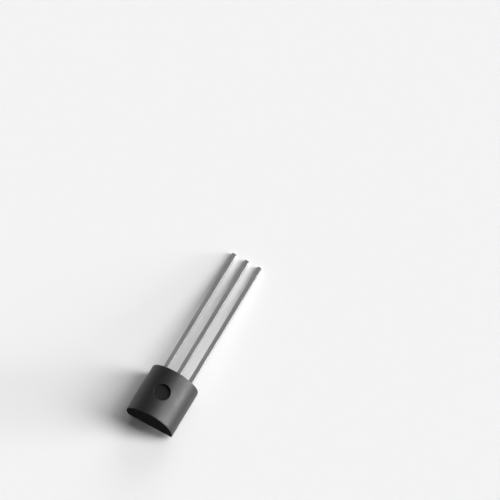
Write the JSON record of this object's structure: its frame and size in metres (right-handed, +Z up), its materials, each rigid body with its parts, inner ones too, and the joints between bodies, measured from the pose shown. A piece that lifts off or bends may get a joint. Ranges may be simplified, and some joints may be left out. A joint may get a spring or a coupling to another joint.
{
  "type": "to-92 transistor",
  "caption": "Small transistor: a black moulded body with a flat face and a rounded back, and straight tinned leads in a row for mounting through a circuit board.",
  "frame": {"origin": "middle of the bottom of the object's box, on the surface that it lies on", "axes": "+X across the package, to the right when the flat face is seen with the leads pointing down; +Y along the floor, from the closed end of the body towards the lead tips; +Z up. It lies as it comes to rest, flat face down, on that face's edge at the lead end and on the lead tips, so the leads slope 5.5 degrees down from the body and the closed end stands 0.4 mm off the floor."},
  "size_m": [0.0046, 0.017, 0.0041],
  "materials": {
    "moulding_compound": "satin",
    "tinned_lead": "satin",
    "silicon": "polished",
    "die_adhesive": "matte",
    "gold_wire": "polished"
  },
  "bodies": {
    "root": {"moulded_body": "moulding_compound", "collector_lead": "tinned_lead", "base_lead": "tinned_lead", "emitter_lead": "tinned_lead", "silicon_chip": "silicon", "die_attach": "die_adhesive", "base_bond_wire": "gold_wire", "emitter_bond_wire": "gold_wire"}
  },
  "joints": []
}
